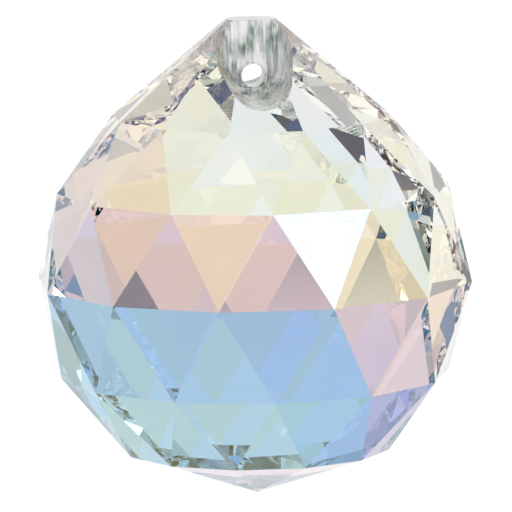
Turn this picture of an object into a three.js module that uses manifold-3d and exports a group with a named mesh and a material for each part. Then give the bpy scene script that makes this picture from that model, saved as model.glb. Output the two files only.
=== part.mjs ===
// A faceted crystal suncatcher: a clear glass ball, ground flat in rings of triangles,
// that rises in a twelve-sided crown to a small flat top. Under the top, two recesses
// ground in from the front and the back leave a web between them, and the hanging hole
// runs through that web. Millimetres, +Z up. The hole's middle is the origin and its
// axis is Y, so the ball hangs below the origin as it does on its hook.

import * as THREE from "three";
import { mergeVertices } from "three/addons/utils/BufferGeometryUtils.js";
import Module from "manifold-3d";

const wasm = await Module();
wasm.setup();

// ---- driving dimensions ----

const BALL_RADIUS = 20; // to the corners of the widest ring
const SIDES = 12; // facets around
const STEP = (2 * Math.PI) / SIDES;

// Rings of corners, from the bottom up. Radius and height are shares of the ball's
// radius, measured from its centre, and a turned ring sits half a facet round.
const BOTTOM_POINT = -0.983;
const RINGS = [
  { radius: 0.611, height: -0.778, turned: false },
  { radius: 0.888, height: -0.432, turned: true },
  { radius: 1.0, height: 0.0, turned: false },
  { radius: 0.895, height: 0.418, turned: true },
  { radius: 0.64, height: 0.756, turned: false },
];
const TOP_FLAT = { radius: 0.114, height: 1.196, turned: false };

const HOLE_DIAMETER = 2.1;
const HOLE_ABOVE_CENTRE = 18.85;
const HOLE_SEGMENTS = 32;

const WEB_THICKNESS = 2.9; // glass left between the two recesses
const RECESS_BELOW_HOLE = 2.1; // from the hole's middle down to a recess's shelf
const RECESS_END_RADIUS = 3.0; // the recess's round lower end
const RECESS_TOP_HALF_WIDTH = 3.3; // where it runs out over the top flat
const RECESS_FILLET = 1.0; // between the web's face and the recess's wall
const FILLET_STEPS = 5;
const RECESS_END_SEGMENTS = 20;
const CLEAR = 2; // how far a cutter reaches past the glass

// ---- solids ----

const centreHeight = -HOLE_ABOVE_CENTRE; // the ball's centre, seen from the hole
const topHeight = centreHeight + TOP_FLAT.height * BALL_RADIUS;

/** The corners of one ring. A facet's middle faces the front, so no corner does. */
function ringCorners({ radius, height, turned }) {
  const start = turned ? 0 : -STEP / 2;
  return Array.from({ length: SIDES }, (_, i) => {
    const angle = start + i * STEP;
    return new THREE.Vector3(
      radius * BALL_RADIUS * Math.sin(angle),
      -radius * BALL_RADIUS * Math.cos(angle),
      centreHeight + height * BALL_RADIUS,
    );
  });
}

/** A closed geometry from a list of loops of equal length, each capped by a fan. */
function loftLoops(loops, joinLoops) {
  const points = loops.flat();
  const triangles = [];
  let start = 0;
  for (let k = 0; k + 1 < loops.length; k++) {
    const next = start + loops[k].length;
    triangles.push(...joinLoops(start, next, loops[k].length, k));
    start = next;
  }
  triangles.push(...fan(0, loops[0].length).map(([a, b, c]) => [a, c, b]));
  triangles.push(...fan(start, loops.at(-1).length));
  return geometryFrom(points, triangles);
}

/** Triangles of a flat cap, seen with its loop running anticlockwise. */
function fan(first, count) {
  return Array.from({ length: count - 2 }, (_, i) => [first, first + i + 1, first + i + 2]);
}

/** Two triangles for each pair of neighbours in two loops that lie straight above. */
function straightBand(low, high, count) {
  return Array.from({ length: count }, (_, i) => {
    const j = (i + 1) % count;
    return [
      [low + i, low + j, high + j],
      [low + i, high + j, high + i],
    ];
  }).flat();
}

/**
 * Triangles that point up and down by turns, between a ring and one half a facet round.
 * A turned ring's corner i lies after corner i of a straight one, and before corner i + 1.
 */
function zigzagBand(low, high, count, lowTurned) {
  return Array.from({ length: count }, (_, i) => {
    const j = (i + 1) % count;
    const [apex, foot] = lowTurned ? [high + j, low + i] : [high + i, low + j];
    return [
      [low + i, low + j, apex],
      [foot, high + j, high + i],
    ];
  }).flat();
}

function geometryFrom(points, triangles) {
  const geometry = new THREE.BufferGeometry();
  geometry.setAttribute(
    "position",
    new THREE.Float32BufferAttribute(points.flatMap((p) => [p.x, p.y, p.z]), 3),
  );
  geometry.setIndex(triangles.flat());
  return geometry;
}

/** The uncut ball with its crown. */
function ballGeometry() {
  const rings = [...RINGS, TOP_FLAT];
  const loops = rings.map(ringCorners);
  const point = new THREE.Vector3(0, 0, centreHeight + BOTTOM_POINT * BALL_RADIUS);
  const points = [point, ...loops.flat()];
  const firstOf = (k) => 1 + k * SIDES;
  const triangles = [];
  for (let i = 0; i < SIDES; i++) {
    triangles.push([0, firstOf(0) + ((i + 1) % SIDES), firstOf(0) + i]);
  }
  for (let k = 0; k + 1 < rings.length; k++) {
    const band =
      rings[k].turned === rings[k + 1].turned
        ? straightBand(firstOf(k), firstOf(k + 1), SIDES)
        : zigzagBand(firstOf(k), firstOf(k + 1), SIDES, rings[k].turned);
    triangles.push(...band);
  }
  triangles.push(...fan(firstOf(rings.length - 1), SIDES));
  return geometryFrom(points, triangles);
}

/** A recess's outline in X and Z, drawn in from its full size by an inset. */
function recessOutline(inset) {
  const endRadius = RECESS_END_RADIUS - inset;
  const endHeight = RECESS_END_RADIUS - RECESS_BELOW_HOLE;
  const high = topHeight + CLEAR;
  const round = Array.from({ length: RECESS_END_SEGMENTS + 1 }, (_, i) => {
    const angle = Math.PI + (Math.PI * i) / RECESS_END_SEGMENTS;
    return [endRadius * Math.cos(angle), endHeight + endRadius * Math.sin(angle)];
  });
  const half = RECESS_TOP_HALF_WIDTH - inset;
  return [...round, [half, high], [-half, high]];
}

/** The cutter for the recess at the front: its inner end is the web's face. */
function recessCutter() {
  const reach = BALL_RADIUS;
  const face = WEB_THICKNESS / 2;
  const loops = [];
  for (let k = 0; k <= FILLET_STEPS; k++) {
    const turn = (Math.PI / 2) * (k / FILLET_STEPS);
    const inset = RECESS_FILLET * (1 - Math.sin(turn));
    const depth = face + RECESS_FILLET * (1 - Math.cos(turn));
    loops.push(recessOutline(inset).map(([x, z]) => new THREE.Vector3(x, -depth, z)));
  }
  loops.push(recessOutline(0).map(([x, z]) => new THREE.Vector3(x, -reach, z)));
  return loftLoops(loops, straightBand);
}

function holeCutter() {
  const radius = HOLE_DIAMETER / 2;
  return new THREE.CylinderGeometry(radius, radius, WEB_THICKNESS + CLEAR, HOLE_SEGMENTS);
}

// ---- cutting ----

function toManifold(geometry) {
  const bare = geometry.clone();
  bare.deleteAttribute("normal");
  bare.deleteAttribute("uv");
  const merged = mergeVertices(bare, 1e-4);
  return new wasm.Manifold(
    new wasm.Mesh({
      numProp: 3,
      vertProperties: new Float32Array(merged.attributes.position.array),
      triVerts: new Uint32Array(merged.index.array),
    }),
  );
}

function toGeometry(solid) {
  const mesh = solid.getMesh();
  const geometry = new THREE.BufferGeometry();
  geometry.setAttribute("position", new THREE.BufferAttribute(mesh.vertProperties, 3));
  geometry.setIndex(new THREE.BufferAttribute(mesh.triVerts, 1));
  return geometry;
}

function crystalBall() {
  const frontRecess = recessCutter();
  const backRecess = frontRecess.clone().rotateZ(Math.PI);
  const cut = [backRecess, holeCutter()].reduce(
    (solid, cutter) => solid.subtract(toManifold(cutter)),
    toManifold(ballGeometry()).subtract(toManifold(frontRecess)),
  );
  const glass = new THREE.MeshStandardMaterial({
    color: 0xe9f1f2,
    roughness: 0.02,
    metalness: 0,
    transparent: true,
    opacity: 0.4,
    flatShading: true,
  });
  const mesh = new THREE.Mesh(toGeometry(cut), glass);
  mesh.name = "crystal_ball";
  return mesh;
}

const suncatcher = new THREE.Group();
suncatcher.add(crystalBall());

export default suncatcher;
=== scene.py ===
"""Looks of the crystal suncatcher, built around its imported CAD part."""

import math

import bmesh
import bpy
from mathutils import Matrix, Vector, noise


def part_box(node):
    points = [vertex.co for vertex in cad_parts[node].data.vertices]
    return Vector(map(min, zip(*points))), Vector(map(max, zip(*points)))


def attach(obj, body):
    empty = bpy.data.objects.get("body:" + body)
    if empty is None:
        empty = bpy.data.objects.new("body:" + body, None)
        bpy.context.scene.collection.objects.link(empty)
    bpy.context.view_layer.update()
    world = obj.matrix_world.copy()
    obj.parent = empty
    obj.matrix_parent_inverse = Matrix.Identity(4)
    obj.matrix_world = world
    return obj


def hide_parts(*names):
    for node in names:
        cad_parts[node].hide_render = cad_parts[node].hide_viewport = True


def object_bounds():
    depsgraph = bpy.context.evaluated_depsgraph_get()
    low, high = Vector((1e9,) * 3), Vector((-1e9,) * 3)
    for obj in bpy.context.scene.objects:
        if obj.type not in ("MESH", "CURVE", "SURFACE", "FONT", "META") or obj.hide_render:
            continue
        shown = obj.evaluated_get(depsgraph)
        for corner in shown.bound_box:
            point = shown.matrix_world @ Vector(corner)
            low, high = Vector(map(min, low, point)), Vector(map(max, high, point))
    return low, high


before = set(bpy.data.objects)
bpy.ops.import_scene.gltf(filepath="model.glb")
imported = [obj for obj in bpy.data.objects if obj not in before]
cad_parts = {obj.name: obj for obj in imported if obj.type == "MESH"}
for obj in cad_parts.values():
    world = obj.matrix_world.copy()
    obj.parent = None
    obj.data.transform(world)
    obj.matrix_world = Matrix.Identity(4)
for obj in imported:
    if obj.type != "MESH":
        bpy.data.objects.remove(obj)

CAD_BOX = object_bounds()
MM = 0.001
SCENE = bpy.context.scene
NODE = "crystal_ball"

# ---- the cut, in metres ----

TOP_FLAT_RADIUS = 2.28 * MM
RING_ZONE_TOP = -3.0 * MM  # every ring of corners lies below this, every recess above it
ONE_FACET = math.radians(0.5)  # faces that meet at less than this are one facet

HOLE_RADIUS = 1.05 * MM
HOLE_CHAMFER = 0.06 * MM
WEB_HALF = 1.45 * MM
RECESS_END_RADIUS = 3.0 * MM
RECESS_END_HEIGHT = 0.9 * MM
RECESS_TOP_HALF_WIDTH = 3.3 * MM
RECESS_FILLET = 1.0 * MM
CLEAR = 2.0 * MM  # how far a cutter reaches past the glass

# ---- small helpers ----


def new_object(name, mesh):
    made = bpy.data.objects.new(name, mesh)
    SCENE.collection.objects.link(made)
    return made


def mesh_from(name, points, faces):
    mesh = bpy.data.meshes.new(name)
    mesh.from_pydata(points, [], faces)
    mesh.update()
    return mesh


def toward(azimuth, elevation):
    """The direction that lies this many degrees round from the front, and up."""
    a = math.radians(azimuth)
    e = math.radians(elevation)
    return Vector((math.sin(a) * math.cos(e), -math.cos(a) * math.cos(e), math.sin(e)))


def smoothstep(start, end, value):
    share = min(max((value - start) / (end - start), 0.0), 1.0)
    return share * share * (3 - 2 * share)


# ---- shader helpers ----


def nodes_of(material):
    material.use_nodes = True
    tree = material.node_tree
    return tree, tree.nodes["Principled BSDF"]


def add_node(tree, kind, **values):
    node = tree.nodes.new(kind)
    for key, value in values.items():
        setattr(node, key, value)
    return node


def math_node(tree, operation, first, second):
    """A Math node whose two inputs are sockets or plain numbers."""
    node = add_node(tree, "ShaderNodeMath", operation=operation)
    for socket, value in zip(node.inputs, (first, second)):
        if isinstance(value, (int, float)):
            socket.default_value = value
        else:
            tree.links.new(value, socket)
    return node.outputs[0]


def colour_ramp(tree, factor, stops):
    node = add_node(tree, "ShaderNodeValToRGB")
    elements = node.color_ramp.elements
    while len(elements) < len(stops):
        elements.new(0.5)
    for element, (position, colour) in zip(elements, stops):
        element.position = position
        element.color = (*colour, 1.0)
    tree.links.new(factor, node.inputs["Fac"])
    return node.outputs["Color"]


def object_noise(tree, scale, detail, squeeze=(1.0, 1.0, 1.0)):
    """Noise in the object's space. A squeeze below 1 along an axis draws its grains out."""
    place = add_node(tree, "ShaderNodeTexCoord")
    mapping = add_node(tree, "ShaderNodeMapping")
    mapping.inputs["Scale"].default_value = squeeze
    tree.links.new(place.outputs["Object"], mapping.inputs["Vector"])
    grain = add_node(tree, "ShaderNodeTexNoise")
    grain.inputs["Scale"].default_value = scale
    grain.inputs["Detail"].default_value = detail
    tree.links.new(mapping.outputs["Vector"], grain.inputs["Vector"])
    return grain.outputs["Fac"]


# ---- the uncut ball ----


def read_rings():
    """The bottom point, then the rings of corners, lowest first, as the CAD node has them."""
    corners = {}
    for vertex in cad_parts[NODE].data.vertices:
        if vertex.co.z < RING_ZONE_TOP:
            corners.setdefault(round(vertex.co.z / MM, 1), set()).add(
                tuple(round(c, 7) for c in vertex.co)
            )
    rings = []
    for height in sorted(corners):
        points = [Vector(p) for p in corners[height]]
        rings.append(sorted(points, key=lambda p: math.atan2(p.x, -p.y)))
    return rings


def uncut_ball():
    """The ball before its recesses are ground: rings of flat triangles and a crown."""
    point, *rings = read_rings()
    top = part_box(NODE)[1].z
    flat = [
        Vector((TOP_FLAT_RADIUS * p.x, TOP_FLAT_RADIUS * p.y, 0)) / p.to_2d().length
        + Vector((0, 0, top))
        for p in rings[-1]
    ]
    work = bmesh.new()
    for p in [point[0], *(p for ring in rings for p in ring), *flat]:
        work.verts.new(p)
    result = bmesh.ops.convex_hull(work, input=work.verts)
    spare = [v for v in result["geom_interior"] if isinstance(v, bmesh.types.BMVert)]
    bmesh.ops.delete(work, geom=spare, context="VERTS")
    bmesh.ops.dissolve_limit(
        work, angle_limit=ONE_FACET, verts=work.verts, edges=work.edges
    )
    bmesh.ops.recalc_face_normals(work, faces=work.faces)
    mesh = bpy.data.meshes.new("cut_crystal_ball")
    work.to_mesh(mesh)
    work.free()
    return new_object("cut_crystal_ball", mesh)


# ---- the relief that grinding left, with grains in cycles for each metre ----

WALL_MARK = 0.08 * MM  # height of the terraces that the wheel left on a wall
WALL_PITCH = 0.34 * MM
WALL_TERRACE = 0.6
WALL_CHIP = 0.5
WALL_WANDER = 3.0  # radians by which the terraces run out of step
WANDER_GRAIN = 240
CHIP_GRAIN = 1300

LUMP = 0.03 * MM
LUMP_GRAIN = 350

FACE_MARK = 0.09 * MM  # height of the upright scratches on the web's face
FACE_STREAK = 0.8
STREAK_GRAIN = Vector((3200, 3200, 260))
WAVE_GRAIN = Vector((900, 900, 420))

HOLE_WEAR = 0.02 * MM
HOLE_GRAIN = 1500


def wall_mark(point, along):
    """Terraces that run round the wall, broken up by small chips."""
    wander = WALL_WANDER * noise.noise(point * WANDER_GRAIN)
    terrace = math.sin(2 * math.pi * along / WALL_PITCH + wander)
    chips = noise.noise(point * CHIP_GRAIN)
    lumps = LUMP * noise.noise(point * LUMP_GRAIN)
    return WALL_MARK * (WALL_TERRACE * terrace + WALL_CHIP * chips) + lumps


def face_mark(point):
    """Upright scratches, with slower waves across them."""
    streak = noise.noise(point * STREAK_GRAIN)
    wave = noise.noise(point * WAVE_GRAIN)
    return FACE_MARK * (FACE_STREAK * streak + wave)


# ---- the ground recesses and the hole ----

END_POINTS = 64
SIDE_POINTS = 26
WALL_REACH = 11.0 * MM
WALL_STEP = 0.11 * MM
FILLET_STEPS = 10
FACE_STEPS = 34
FACE_MIDDLE = 0.15 * MM  # radius of the innermost loop on the web's face
ROUNDING = 1e-9

HOLE_POINTS = 72
HOLE_RINGS = 21  # between the chamfers
HOLE_STEP = 0.12 * MM


def recess_outline(inset):
    """The U of a recess, seen along Y, from the top left round to the top right."""
    radius = RECESS_END_RADIUS - inset
    half = RECESS_TOP_HALF_WIDTH - inset
    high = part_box(NODE)[1].z + CLEAR
    rise = high - RECESS_END_HEIGHT
    points = []
    for i in range(SIDE_POINTS):
        share = i / SIDE_POINTS
        points.append((-half + (half - radius) * share, high - rise * share))
    for i in range(END_POINTS + 1):
        angle = math.pi * (1 + i / END_POINTS)
        points.append(
            (radius * math.cos(angle), RECESS_END_HEIGHT + radius * math.sin(angle))
        )
    for i in range(1, SIDE_POINTS + 1):
        share = i / SIDE_POINTS
        points.append((radius + (half - radius) * share, RECESS_END_HEIGHT + rise * share))
    return points


def recess_levels():
    """(inset, depth) pairs from the middle of the web's face out to past the glass."""
    levels = []
    widest = RECESS_END_RADIUS - FACE_MIDDLE
    for k in range(FACE_STEPS):
        share = k / FACE_STEPS
        levels.append((widest + (RECESS_FILLET - widest) * share, WEB_HALF))
    for k in range(FILLET_STEPS + 1):
        turn = math.pi / 2 * k / FILLET_STEPS
        levels.append(
            (
                RECESS_FILLET * (1 - math.sin(turn)),
                WEB_HALF + RECESS_FILLET * (1 - math.cos(turn)),
            )
        )
    depth = WEB_HALF + RECESS_FILLET
    while depth < WEB_HALF + WALL_REACH:
        depth += WALL_STEP
        levels.append((0.0, depth))
    return levels


def loop_faces(loops, count):
    """Faces between closed loops of equal length, one after another, and their two caps."""
    faces = []
    for k in range(loops - 1):
        for i in range(count):
            a = k * count + i
            b = k * count + (i + 1) % count
            faces.append((a, b, b + count, a + count))
    faces.append(tuple(range(count)))
    faces.append(tuple((loops - 1) * count + i for i in range(count)))
    return faces


def closed_outward(made):
    work = bmesh.new()
    work.from_mesh(made.data)
    bmesh.ops.recalc_face_normals(work, faces=work.faces)
    bmesh.ops.triangulate(work, faces=work.faces)
    work.to_mesh(made.data)
    work.free()
    return made


def recess_cutter(side):
    """A closed solid in the shape of the front recess (side -1) or the back one (1)."""
    points = []
    levels = recess_levels()
    count = len(recess_outline(0.0))
    for inset, depth in levels:
        along = depth + inset
        outline = recess_outline(inset)
        for i, (x, z) in enumerate(outline):
            here = Vector((x, side * depth, z))
            if depth <= WEB_HALF + ROUNDING:
                here.y -= side * face_mark(here)
            else:
                mark = wall_mark(here, along)
                before = outline[max(i - 1, 0)]
                after = outline[min(i + 1, count - 1)]
                tangent = Vector((after[0] - before[0], after[1] - before[1])).normalized()
                here.x -= tangent.y * mark
                here.z += tangent.x * mark
            points.append(here)
    name = f"recess_cutter_{'front' if side < 0 else 'back'}"
    mesh = mesh_from(name, points, loop_faces(len(levels), count))
    return closed_outward(new_object(name, mesh))


def hole_stations():
    """(y, radius) pairs along the hole, which has a small worn chamfer at both mouths."""
    mouth = HOLE_RADIUS + HOLE_CHAMFER
    inner = WEB_HALF - HOLE_CHAMFER
    stations = [(-WEB_HALF - CLEAR, mouth), (-WEB_HALF, mouth)]
    stations += [(-inner + HOLE_STEP * k, HOLE_RADIUS) for k in range(HOLE_RINGS + 1)]
    stations += [(inner, HOLE_RADIUS), (WEB_HALF, mouth), (WEB_HALF + CLEAR, mouth)]
    return stations


def hole_cutter():
    points = []
    stations = hole_stations()
    for y, radius in stations:
        for i in range(HOLE_POINTS):
            angle = 2 * math.pi * i / HOLE_POINTS
            out = Vector((math.cos(angle), 0, math.sin(angle)))
            here = out * radius + Vector((0, y, 0))
            points.append(here + out * HOLE_WEAR * noise.noise(here * HOLE_GRAIN))
    mesh = mesh_from("hole_cutter", points, loop_faces(len(stations), HOLE_POINTS))
    return closed_outward(new_object("hole_cutter", mesh))


# ---- polished crystal and its coating ----

GLASS_INDEX = 1.518

# A thin clear film lies on every facet, and gives the reflections their colours.
FILM_INDEX = 1.9
FILM_LEAST = 146.0  # nanometres, on an uncoated facet that leans neither left nor right
FILM_GAIN = 105.0  # what the thickest coating adds
FILM_RIGHT = -6.0  # the change on a facet that faces right, and its opposite on the left

# The coating covers the front half. It is thickest low down and thins towards the top and
# the right. The left of the crown has more of it, and the facets round the bottom point
# have less. Elsewhere there is only a little, which differs by chance.
COAT_NONE_UP = 0.75  # a facet's upward lean where the coating begins
COAT_FULL_DOWN = -0.45
COAT_RIGHT_LOSS = 0.74
COAT_RIGHT_POWER = 1.4
COAT_LEFT_GAIN = 0.4
COAT_POINT_LOSS = 0.5
COAT_POINT = (-0.75, -0.9)  # the lean where this loss begins, and where it is whole
COAT_SIDES = (-0.1, 0.25)  # how far forward a facet faces where the coating sets in
COAT_BACK = 0.04
COAT_SCATTER = 0.11  # chance differences between facets
COAT_GRAIN = 7.3
BACK_SCATTER = 2  # how much larger they are on the back
CLOUD = 0.12  # slow changes within a facet
CLOUD_GRAIN = 60.0
CLOUD_DETAIL = 2.0

# What light keeps on its way through the coating, from its thinnest to its thickest.
COAT_COLOURS = [
    (0.0, (1.0, 0.955, 0.92)),
    (0.07, (1.0, 0.90, 0.62)),
    (0.22, (0.93, 0.68, 0.46)),
    (0.38, (0.76, 0.49, 0.44)),
    (0.52, (0.66, 0.42, 0.46)),
    (0.63, (0.26, 0.16, 0.50)),
    (0.73, (0.09, 0.14, 0.72)),
    (0.82, (0.09, 0.22, 0.78)),
    (0.91, (0.10, 0.34, 0.74)),
    (1.0, (0.16, 0.45, 0.70)),
]


def coat_share(normal):
    """The coating on a facet that faces along normal, where 0 is none and 1 is full."""
    height = smoothstep(COAT_NONE_UP, COAT_FULL_DOWN, normal.z)
    loss = COAT_RIGHT_LOSS * max(normal.x, 0.0) ** COAT_RIGHT_POWER
    loss += COAT_POINT_LOSS * smoothstep(*COAT_POINT, normal.z)
    loss -= COAT_LEFT_GAIN * max(-normal.x, 0.0) ** 2 * (1 - height) ** 2
    chance = COAT_SCATTER * noise.noise(normal * COAT_GRAIN)
    front = smoothstep(*COAT_SIDES, -normal.y)
    return max(front * (height - loss + chance), COAT_BACK + BACK_SCATTER * chance, 0.0)


def crystal_material():
    """Polished clear crystal under a thin iridescent coating, thickness by facet."""
    material = bpy.data.materials.new("polished_crystal")
    tree, shader = nodes_of(material)
    shader.inputs["Roughness"].default_value = 0.0
    shader.inputs["IOR"].default_value = GLASS_INDEX
    shader.inputs["Transmission Weight"].default_value = 1.0
    shader.inputs["Thin Film IOR"].default_value = FILM_INDEX
    coat = add_node(tree, "ShaderNodeAttribute", attribute_name="coat")
    least = add_node(tree, "ShaderNodeAttribute", attribute_name="least_film")
    cloud = object_noise(tree, CLOUD_GRAIN, CLOUD_DETAIL)
    drift = math_node(tree, "MULTIPLY", math_node(tree, "SUBTRACT", cloud, 0.5), CLOUD)
    share = math_node(tree, "ADD", coat.outputs["Fac"], drift)
    gain = math_node(tree, "MULTIPLY", share, FILM_GAIN)
    thickness = math_node(tree, "ADD", gain, least.outputs["Fac"])
    tree.links.new(thickness, shader.inputs["Thin Film Thickness"])
    colour = colour_ramp(tree, share, COAT_COLOURS)
    tree.links.new(colour, shader.inputs["Base Color"])
    return material


# ---- ground crystal ----

SCRATCH_GRAIN = 3800.0
SCRATCH_DETAIL = 2.0
SCRATCH_SQUEEZE = (1.0, 1.0, 0.14)
PATCH_GRAIN = 620.0
PATCH_DETAIL = 4.0
PATCH_SQUEEZE = (1.0, 1.0, 0.7)
PATCH_RANGE = (0.3, 0.7)
GROUND_ROUGHNESS = (0.12, 0.4)
SCRATCH_DEPTH = 0.08 * MM
SCRATCH_STRENGTH = 0.8

# Painted shade on the ground glass, from the deepest scratches to the cleanest patches: the
# dark green and grey-lilac stand in for the dim room seen through the frosted glass.
GROUND_PAINTED_SHADE = [
    (0.37, (0.10, 0.16, 0.12)),
    (0.44, (0.44, 0.47, 0.38)),
    (0.49, (0.72, 0.69, 0.76)),
    (0.54, (0.90, 0.83, 0.74)),
    (0.59, (1.0, 1.0, 0.96)),
]


def map_range(tree, value, source, target, interpolation="LINEAR"):
    node = add_node(tree, "ShaderNodeMapRange", interpolation_type=interpolation)
    for end, number in zip(("From Min", "From Max", "To Min", "To Max"), source + target):
        node.inputs[end].default_value = number
    tree.links.new(value, node.inputs["Value"])
    return node.outputs["Result"]


def ground_material():
    """Unpolished glass in the recesses: hazy, and covered in upright scratches, with painted
    shade in its base colour along the scratches.
    """
    material = bpy.data.materials.new("ground_crystal_painted_shade")
    tree, shader = nodes_of(material)
    shader.inputs["IOR"].default_value = GLASS_INDEX
    shader.inputs["Transmission Weight"].default_value = 1.0
    scratches = object_noise(tree, SCRATCH_GRAIN, SCRATCH_DETAIL, SCRATCH_SQUEEZE)
    patches = object_noise(tree, PATCH_GRAIN, PATCH_DETAIL, PATCH_SQUEEZE)
    relief_and_painted_shade = math_node(tree, "MULTIPLY", math_node(tree, "ADD", scratches, patches), 0.5)
    # Painted shade: the base colour darkens to green and grey-lilac along the scratches, in
    # place of the dim room scattered through the frosted glass.
    colour = colour_ramp(tree, relief_and_painted_shade, GROUND_PAINTED_SHADE)
    tree.links.new(colour, shader.inputs["Base Color"])
    rough = map_range(tree, patches, PATCH_RANGE, GROUND_ROUGHNESS)
    tree.links.new(rough, shader.inputs["Roughness"])
    bump = add_node(tree, "ShaderNodeBump")
    bump.inputs["Strength"].default_value = SCRATCH_STRENGTH
    bump.inputs["Distance"].default_value = SCRATCH_DEPTH
    tree.links.new(relief_and_painted_shade, bump.inputs["Height"])
    tree.links.new(bump.outputs["Normal"], shader.inputs["Normal"])
    return material


# ---- the finished ball ----

POLISHED = 0
GROUND = 1


def cut(body, cutter):
    modifier = body.modifiers.new(cutter.name, "BOOLEAN")
    modifier.operation = "DIFFERENCE"
    modifier.solver = "MANIFOLD"
    modifier.object = cutter


def apply_cuts(ball, cutters):
    bpy.context.view_layer.update()
    graph = bpy.context.evaluated_depsgraph_get()
    mesh = bpy.data.meshes.new_from_object(ball.evaluated_get(graph))
    ball.modifiers.clear()
    ball.data = mesh
    for cutter in cutters:
        bpy.data.objects.remove(cutter)


def coat_facets(mesh):
    """Writes each facet's share of the coating, and its least film, for the material."""
    coat = mesh.attributes.new("coat", "FLOAT", "FACE")
    least_film = mesh.attributes.new("least_film", "FLOAT", "FACE")
    for face in mesh.polygons:
        is_ground = face.material_index == GROUND
        face.use_smooth = is_ground
        coat.data[face.index].value = 0.0 if is_ground else coat_share(face.normal)
        least_film.data[face.index].value = FILM_LEAST + FILM_RIGHT * face.normal.x


def finished_ball():
    materials = {POLISHED: crystal_material(), GROUND: ground_material()}
    ball = uncut_ball()
    cutters = [recess_cutter(-1), recess_cutter(1), hole_cutter()]
    for made in [ball, *cutters]:
        for slot in (POLISHED, GROUND):
            made.data.materials.append(materials[slot])
    for cutter in cutters:
        for face in cutter.data.polygons:
            face.material_index = GROUND
        cut(ball, cutter)
    apply_cuts(ball, cutters)
    coat_facets(ball.data)
    return ball


ball = finished_ball()
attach(ball, "root")
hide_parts(NODE)

# ---- the camera ----

CAMERA_AZIMUTH = -5.75
CAMERA_ELEVATION = 8.45
CAMERA_ROLL = 0.78
CAMERA_DISTANCE = 0.8
CAMERA_NEAR = 0.01
CAMERA_FAR = 20.0
SENSOR_WIDTH = 36.0
VIEW_WIDTH = 46.6 * MM  # what the frame spans at the ball
LOOK_ABOVE = 2.1 * MM
LOOK_RIGHT = 0.15 * MM


def ball_centre():
    """The middle of the widest ring."""
    widest = max(read_rings(), key=lambda ring: ring[0].to_2d().length)
    return Vector((0, 0, widest[0].z))


CENTRE = ball_centre()


def camera():
    data = bpy.data.cameras.new("camera")
    data.sensor_width = SENSOR_WIDTH
    data.lens = data.sensor_width * CAMERA_DISTANCE / VIEW_WIDTH
    data.clip_start = CAMERA_NEAR
    data.clip_end = CAMERA_FAR
    made = new_object("camera", data)
    back = toward(CAMERA_AZIMUTH, CAMERA_ELEVATION)
    turn = (-back).to_track_quat("-Z", "Y")
    turn = turn @ Matrix.Rotation(math.radians(-CAMERA_ROLL), 4, "Z").to_quaternion()
    look = CENTRE + turn @ Vector((LOOK_RIGHT, LOOK_ABOVE, 0))
    made.rotation_mode = "QUATERNION"
    made.rotation_quaternion = turn
    made.location = look + back * CAMERA_DISTANCE
    SCENE.camera = made


# ---- the studio ----

FLOOR_DROP = 60 * MM  # from the ball's lowest point
FLOOR_HEIGHT = CAD_BOX[0].z - FLOOR_DROP
FLOOR_RADIUS = 2.2
FLOOR_SIDES = 96
FLOOR_COLOUR = (0.97, 0.97, 0.97, 1.0)
FLOOR_ROUGHNESS = 0.9

WORLD_BACK = (1.08, 1.08, 1.08)
WORLD_FRONT = (0.01, 0.10, 0.15)
WORLD_TURN = (0.0, 0.52)  # where the room turns from dim to bright, as a cosine from +Y

KEY_DIRECTION = (38, 26)
KEY_DISTANCE = 1.0
KEY_SIZE = 0.24
KEY_RADIANCE = 7.0

# This light whitens the floor. The camera, reflections and refractions don't see it.
FLOOR_LIGHT_BEHIND = 0.59
FLOOR_LIGHT_ABOVE = 0.3
FLOOR_LIGHT_WIDTH = 1.1
FLOOR_LIGHT_LENGTH = 1.25
FLOOR_LIGHT_RADIANCE = 0.9

LIGHT_BOUNCES = 24


def studio_floor():
    work = bmesh.new()
    bmesh.ops.create_circle(
        work, cap_ends=True, segments=FLOOR_SIDES, radius=FLOOR_RADIUS
    )
    mesh = bpy.data.meshes.new("studio_floor")
    work.to_mesh(mesh)
    work.free()
    made = new_object("studio_floor", mesh)
    made.location.z = FLOOR_HEIGHT
    material = bpy.data.materials.new("pale_floor")
    _, shader = nodes_of(material)
    shader.inputs["Base Color"].default_value = FLOOR_COLOUR
    shader.inputs["Roughness"].default_value = FLOOR_ROUGHNESS
    mesh.materials.append(material)


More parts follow.
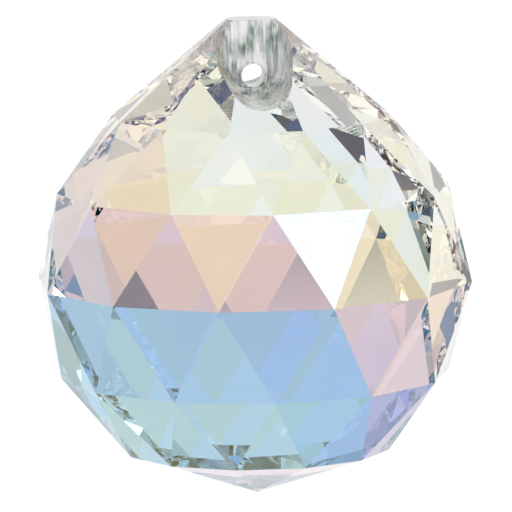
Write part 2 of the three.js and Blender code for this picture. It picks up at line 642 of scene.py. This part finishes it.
def studio_world():
    """A bright backdrop behind the ball that falls off to a dim, cool room at the front."""
    world = bpy.data.worlds.new("studio")
    SCENE.world = world
    world.use_nodes = True
    tree = world.node_tree
    background = tree.nodes["Background"]
    place = add_node(tree, "ShaderNodeTexCoord")
    back = add_node(tree, "ShaderNodeVectorMath", operation="DOT_PRODUCT")
    back.inputs[1].default_value = (0, 1, 0)
    tree.links.new(place.outputs["Generated"], back.inputs[0])
    rise = map_range(tree, back.outputs["Value"], WORLD_TURN, (0.0, 1.0), "SMOOTHSTEP")
    room = add_node(tree, "ShaderNodeMix", data_type="VECTOR")
    tree.links.new(rise, room.inputs["Factor"])
    room.inputs["A"].default_value = WORLD_FRONT
    room.inputs["B"].default_value = WORLD_BACK
    tree.links.new(room.outputs["Result"], background.inputs["Color"])


def softbox(name, place, aim, width, length, radiance):
    """A large soft light, whose face shows this radiance, aimed at a point."""
    data = bpy.data.lights.new(name, "AREA")
    data.shape = "RECTANGLE"
    data.size = width
    data.size_y = length
    data.energy = radiance * math.pi * width * length
    made = new_object(name, data)
    made.location = place
    made.rotation_mode = "QUATERNION"
    made.rotation_quaternion = (Vector(aim) - made.location).to_track_quat("-Z", "Y")
    return made


def studio_lights():
    key = CENTRE + toward(*KEY_DIRECTION) * KEY_DISTANCE
    softbox("key_softbox", key, CENTRE, KEY_SIZE, KEY_SIZE, KEY_RADIANCE)
    over = Vector((0, FLOOR_LIGHT_BEHIND, FLOOR_HEIGHT + FLOOR_LIGHT_ABOVE))
    below = over - Vector((0, 0, 1))
    size = (FLOOR_LIGHT_WIDTH, FLOOR_LIGHT_LENGTH)
    floor_light = softbox("floor_light", over, below, *size, FLOOR_LIGHT_RADIANCE)
    floor_light.visible_camera = False
    floor_light.visible_glossy = False
    floor_light.visible_transmission = False


studio_floor()
studio_world()
studio_lights()
camera()
SCENE.view_settings.view_transform = "Standard"
SCENE.cycles.max_bounces = LIGHT_BOUNCES
SCENE.cycles.transmission_bounces = LIGHT_BOUNCES
SCENE.cycles.glossy_bounces = LIGHT_BOUNCES
